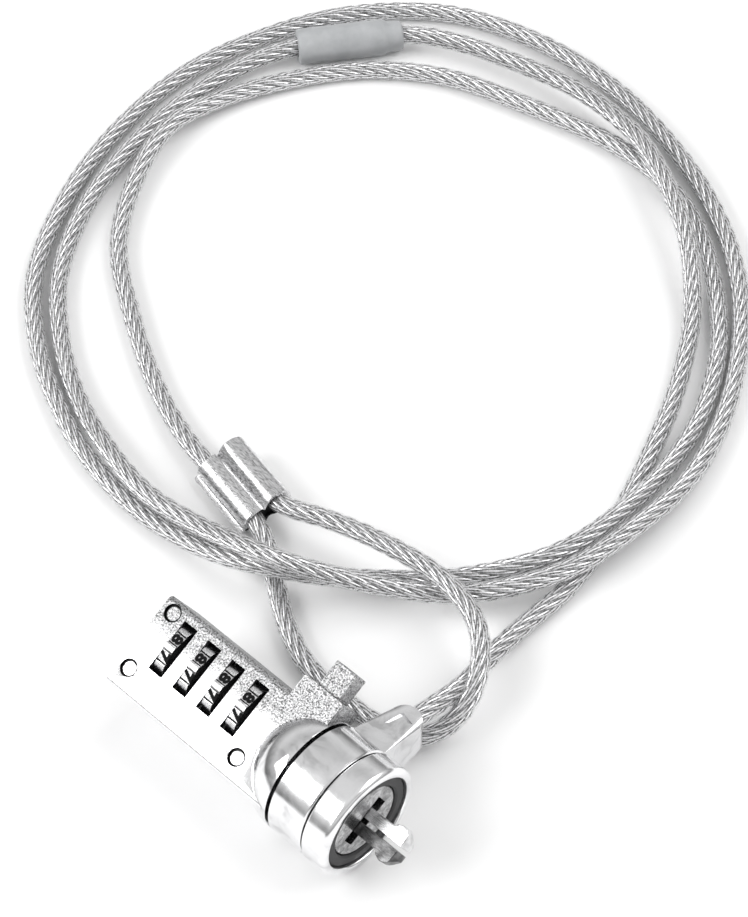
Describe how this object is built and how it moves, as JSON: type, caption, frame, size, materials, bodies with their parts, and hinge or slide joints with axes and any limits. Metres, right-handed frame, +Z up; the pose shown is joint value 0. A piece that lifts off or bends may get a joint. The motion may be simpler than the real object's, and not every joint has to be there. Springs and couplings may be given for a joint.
{
  "type": "laptop cable lock",
  "caption": "Combination cable lock: flat case with numbered dials, swivelling cable ring, spreading claws for a laptop security slot and a looped steel cable.",
  "frame": {"origin": "under the middle of the lock, on the surface it lies on", "axes": "+X along the lock towards the claws, +Y towards the thumb button and the cable's turns, +Z up; the lock lies rolled 28 degrees about its own axis, button side up"},
  "size_m": [0.1708, 0.1816, 0.0254],
  "materials": {
    "case_chrome": "satin cast nickel plate",
    "head_chrome": "polished nickel plate",
    "dial_silver": "satin with black digits",
    "brass_inner": "machined",
    "dark_hub": "moulded",
    "spring_steel": "bright wire",
    "claw_steel": "satin hardened steel",
    "black_rubber": "matt",
    "clear_jacket": "clear jacket over bright steel strands",
    "ferrule_metal": "bright crimped",
    "sleeve_grey": "soft"
  },
  "bodies": {
    "cable_side": {"swivel_ring": "head_chrome", "cable_stop": "spring_steel", "cable": "clear_jacket", "ferrule": "ferrule_metal", "cable_sleeve": "sleeve_grey"},
    "lock_body": {"case_body": "case_chrome", "case_cover": "case_chrome", "case_rivets": "case_chrome", "head_shoulder": "head_chrome", "detent_spring": "spring_steel", "claw_pin": "spring_steel", "front_cap": "head_chrome", "rubber_washer": "black_rubber", "face_plate": "head_chrome", "bar_spring": "spring_steel", "button_spring": "spring_steel"},
    "dial_wheel_1": {"dial_1": "dial_silver", "dial_hub_1": "dark_hub"},
    "dial_wheel_2": {"dial_2": "dial_silver", "dial_hub_2": "dark_hub"},
    "dial_wheel_3": {"dial_3": "dial_silver", "dial_hub_3": "dark_hub"},
    "dial_wheel_4": {"dial_4": "dial_silver", "dial_hub_4": "dark_hub"},
    "button": {"thumb_button": "case_chrome"},
    "bar": {"locking_bar": "brass_inner"},
    "claw_a": {"claw_upper": "claw_steel"},
    "claw_b": {"claw_lower": "claw_steel"}
  },
  "joints": [
    {"name": "ring_swivel", "type": "hinge", "parent": "cable_side", "child": "lock_body", "pos_m": [0.0133, -0.00535, 0.0114], "axis": [1, 0, 0], "continuous": true},
    {"name": "dial_1_turn", "type": "hinge", "parent": "lock_body", "child": "dial_wheel_1", "pos_m": [-0.024, -0.00397, 0.0136], "axis": [1, 0, 0], "continuous": true},
    {"name": "dial_2_turn", "type": "hinge", "parent": "lock_body", "child": "dial_wheel_2", "pos_m": [-0.018, -0.00397, 0.0136], "axis": [1, 0, 0], "continuous": true},
    {"name": "dial_3_turn", "type": "hinge", "parent": "lock_body", "child": "dial_wheel_3", "pos_m": [-0.012, -0.00397, 0.0136], "axis": [1, 0, 0], "continuous": true},
    {"name": "dial_4_turn", "type": "hinge", "parent": "lock_body", "child": "dial_wheel_4", "pos_m": [-0.006, -0.00397, 0.0136], "axis": [1, 0, 0], "continuous": true},
    {"name": "button_press", "type": "slide", "parent": "lock_body", "child": "button", "axis": [0, -0.8829, -0.4695], "range_m": [0, 0.003], "stiffness_N_per_m": 400, "springref_m": -0.002},
    {"name": "bar_slide", "type": "slide", "parent": "lock_body", "child": "bar", "axis": [-1, 0, 0], "range_m": [0, 0.0013]},
    {"name": "claw_upper_close", "type": "hinge", "parent": "lock_body", "child": "claw_a", "pos_m": [0.0125, -0.00535, 0.0114], "axis": [0, 0.4695, -0.8829], "range_deg": [0, 1.2]},
    {"name": "claw_lower_close", "type": "hinge", "parent": "lock_body", "child": "claw_b", "pos_m": [0.0125, -0.00535, 0.0114], "axis": [0, -0.4695, 0.8829], "range_deg": [0, 1.2]}
  ],
  "couplings": [
    {"joint": "bar_slide", "follows": "button_press", "ratio": 0.4333},
    {"joint": "claw_upper_close", "follows": "button_press", "rad_per_m": 6.98},
    {"joint": "claw_lower_close", "follows": "button_press", "rad_per_m": 6.98}
  ]
}
